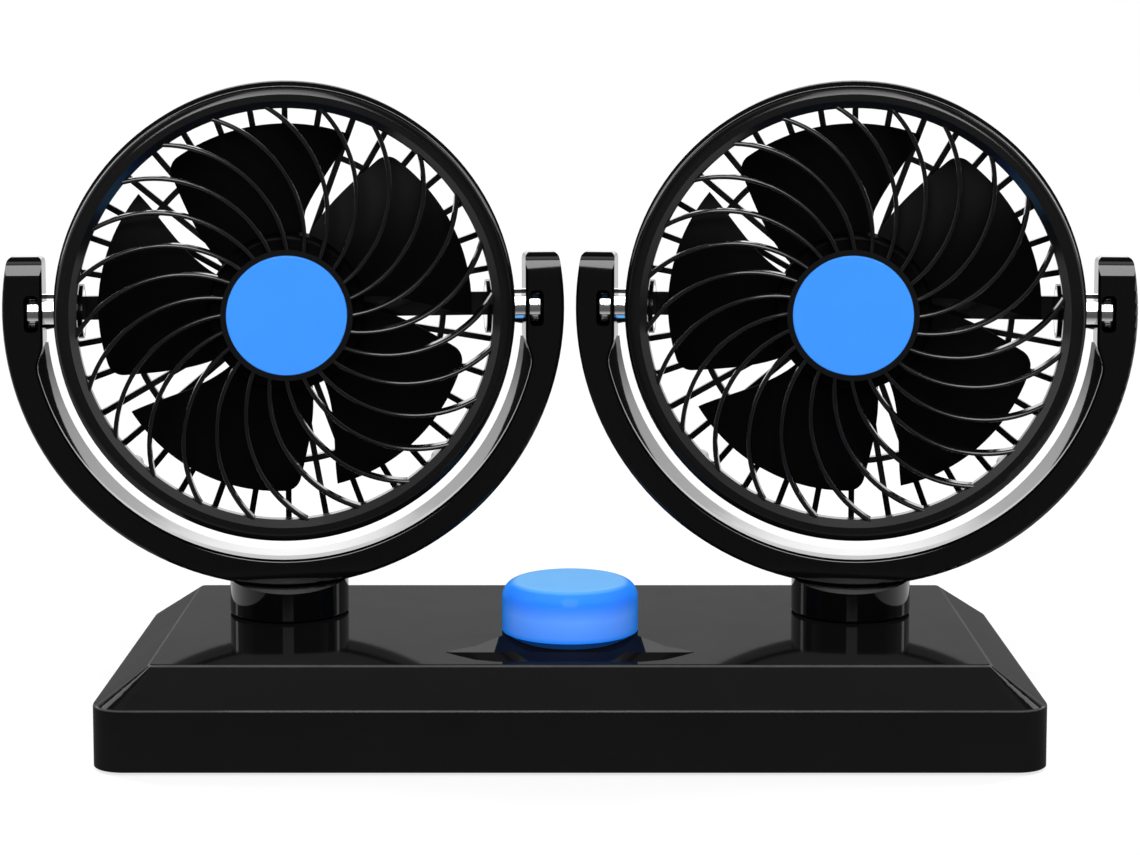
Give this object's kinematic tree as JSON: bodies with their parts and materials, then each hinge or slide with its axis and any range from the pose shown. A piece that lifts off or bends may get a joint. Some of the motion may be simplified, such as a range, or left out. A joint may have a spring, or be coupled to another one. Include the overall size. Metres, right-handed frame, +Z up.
{
  "type": "dual head car fan",
  "caption": "Desk or dashboard fan: round guarded heads tilt in U-shaped yokes that swivel on a low base with a speed knob.",
  "frame": {"origin": "middle of the base's footprint, on the surface that it stands on", "axes": "+X to the right of someone facing the fan, +Y to the back, +Z up; the heads blow towards -Y"},
  "size_m": [0.2826, 0.103, 0.1582],
  "materials": {
    "base_plastic": "polished black moulding",
    "lid_plastic": "fine textured black moulding",
    "screw_steel": "zinc plated",
    "pad_foam": "foam with a sticky face",
    "grommet_rubber": "soft black",
    "switch_plastic": "moulded phenolic",
    "board": "green solder mask",
    "plug_plastic": "natural nylon",
    "knob_blue": "glossy, slightly clear blue",
    "spindle_aluminium": "turned",
    "yoke_plastic": "polished black moulding",
    "washer_nylon": "natural nylon",
    "keeper_steel": "pressed",
    "guard_plastic": "satin black moulding",
    "badge_blue": "even glossy blue",
    "pin_chrome": "polished",
    "motor_steel": "zinc plated",
    "magnet_ferrite": "sintered",
    "bush_bronze": "sintered bronze",
    "impeller_plastic": "satin black moulding",
    "shaft_steel": "ground"
  },
  "bodies": {
    "base": {"base_cover": "base_plastic", "base_lid": "lid_plastic", "base_screws": "screw_steel", "mounting_pad": "pad_foam", "cable_grommet": "grommet_rubber", "rotary_switch": "switch_plastic", "switch_nut": "screw_steel", "circuit_board": "board", "board_screws": "screw_steel", "board_plugs": "plug_plastic"},
    "knob": {"speed_knob": "knob_blue", "switch_spindle": "spindle_aluminium"},
    "left_arm": {"left_yoke": "yoke_plastic", "left_swivel_post": "yoke_plastic", "left_swivel_washer": "washer_nylon", "left_swivel_keeper": "keeper_steel", "left_keeper_screws": "screw_steel", "left_yoke_screws": "screw_steel"},
    "left_head": {"left_front_guard": "guard_plastic", "left_badge": "badge_blue", "left_rear_guard": "guard_plastic", "left_pivot_pins": "pin_chrome", "left_guard_screws": "screw_steel", "left_motor_screws": "screw_steel", "left_motor_can": "motor_steel", "left_motor_end_cap": "lid_plastic", "left_motor_magnets": "magnet_ferrite", "left_motor_bushes": "bush_bronze"},
    "left_rotor": {"left_impeller": "impeller_plastic", "left_motor_shaft": "shaft_steel", "left_armature": "motor_steel"},
    "right_arm": {"right_yoke": "yoke_plastic", "right_swivel_post": "yoke_plastic", "right_swivel_washer": "washer_nylon", "right_swivel_keeper": "keeper_steel", "right_keeper_screws": "screw_steel", "right_yoke_screws": "screw_steel"},
    "right_head": {"right_front_guard": "guard_plastic", "right_badge": "badge_blue", "right_rear_guard": "guard_plastic", "right_pivot_pins": "pin_chrome", "right_guard_screws": "screw_steel", "right_motor_screws": "screw_steel", "right_motor_can": "motor_steel", "right_motor_end_cap": "lid_plastic", "right_motor_magnets": "magnet_ferrite", "right_motor_bushes": "bush_bronze"},
    "right_rotor": {"right_impeller": "impeller_plastic", "right_motor_shaft": "shaft_steel", "right_armature": "motor_steel"}
  },
  "joints": [
    {"name": "knob_turn", "type": "hinge", "parent": "base", "child": "knob", "pos_m": [0, -0.0075, 0.0223], "axis": [0, 0, -1], "range_deg": [0, 270]},
    {"name": "left_swivel", "type": "hinge", "parent": "base", "child": "left_arm", "pos_m": [-0.0714, 0.0125, 0.0239], "axis": [0, 0, 1], "range_deg": [-175, 175]},
    {"name": "left_tilt", "type": "hinge", "parent": "left_arm", "child": "left_head", "pos_m": [-0.0714, 0.0125, 0.101], "axis": [-0.9936, -0.1132, 0], "range_deg": [-90, 90]},
    {"name": "left_spin", "type": "hinge", "parent": "left_head", "child": "left_rotor", "pos_m": [-0.0714, 0.0125, 0.101], "axis": [0.1132, -0.9936, 0], "continuous": true},
    {"name": "right_swivel", "type": "hinge", "parent": "base", "child": "right_arm", "pos_m": [0.0714, 0.0125, 0.0239], "axis": [0, 0, 1], "range_deg": [-175, 175]},
    {"name": "right_tilt", "type": "hinge", "parent": "right_arm", "child": "right_head", "pos_m": [0.0714, 0.0125, 0.101], "axis": [-0.9936, 0.1132, 0], "range_deg": [-90, 90]},
    {"name": "right_spin", "type": "hinge", "parent": "right_head", "child": "right_rotor", "pos_m": [0.0714, 0.0125, 0.101], "axis": [-0.1132, -0.9936, 0], "continuous": true}
  ]
}
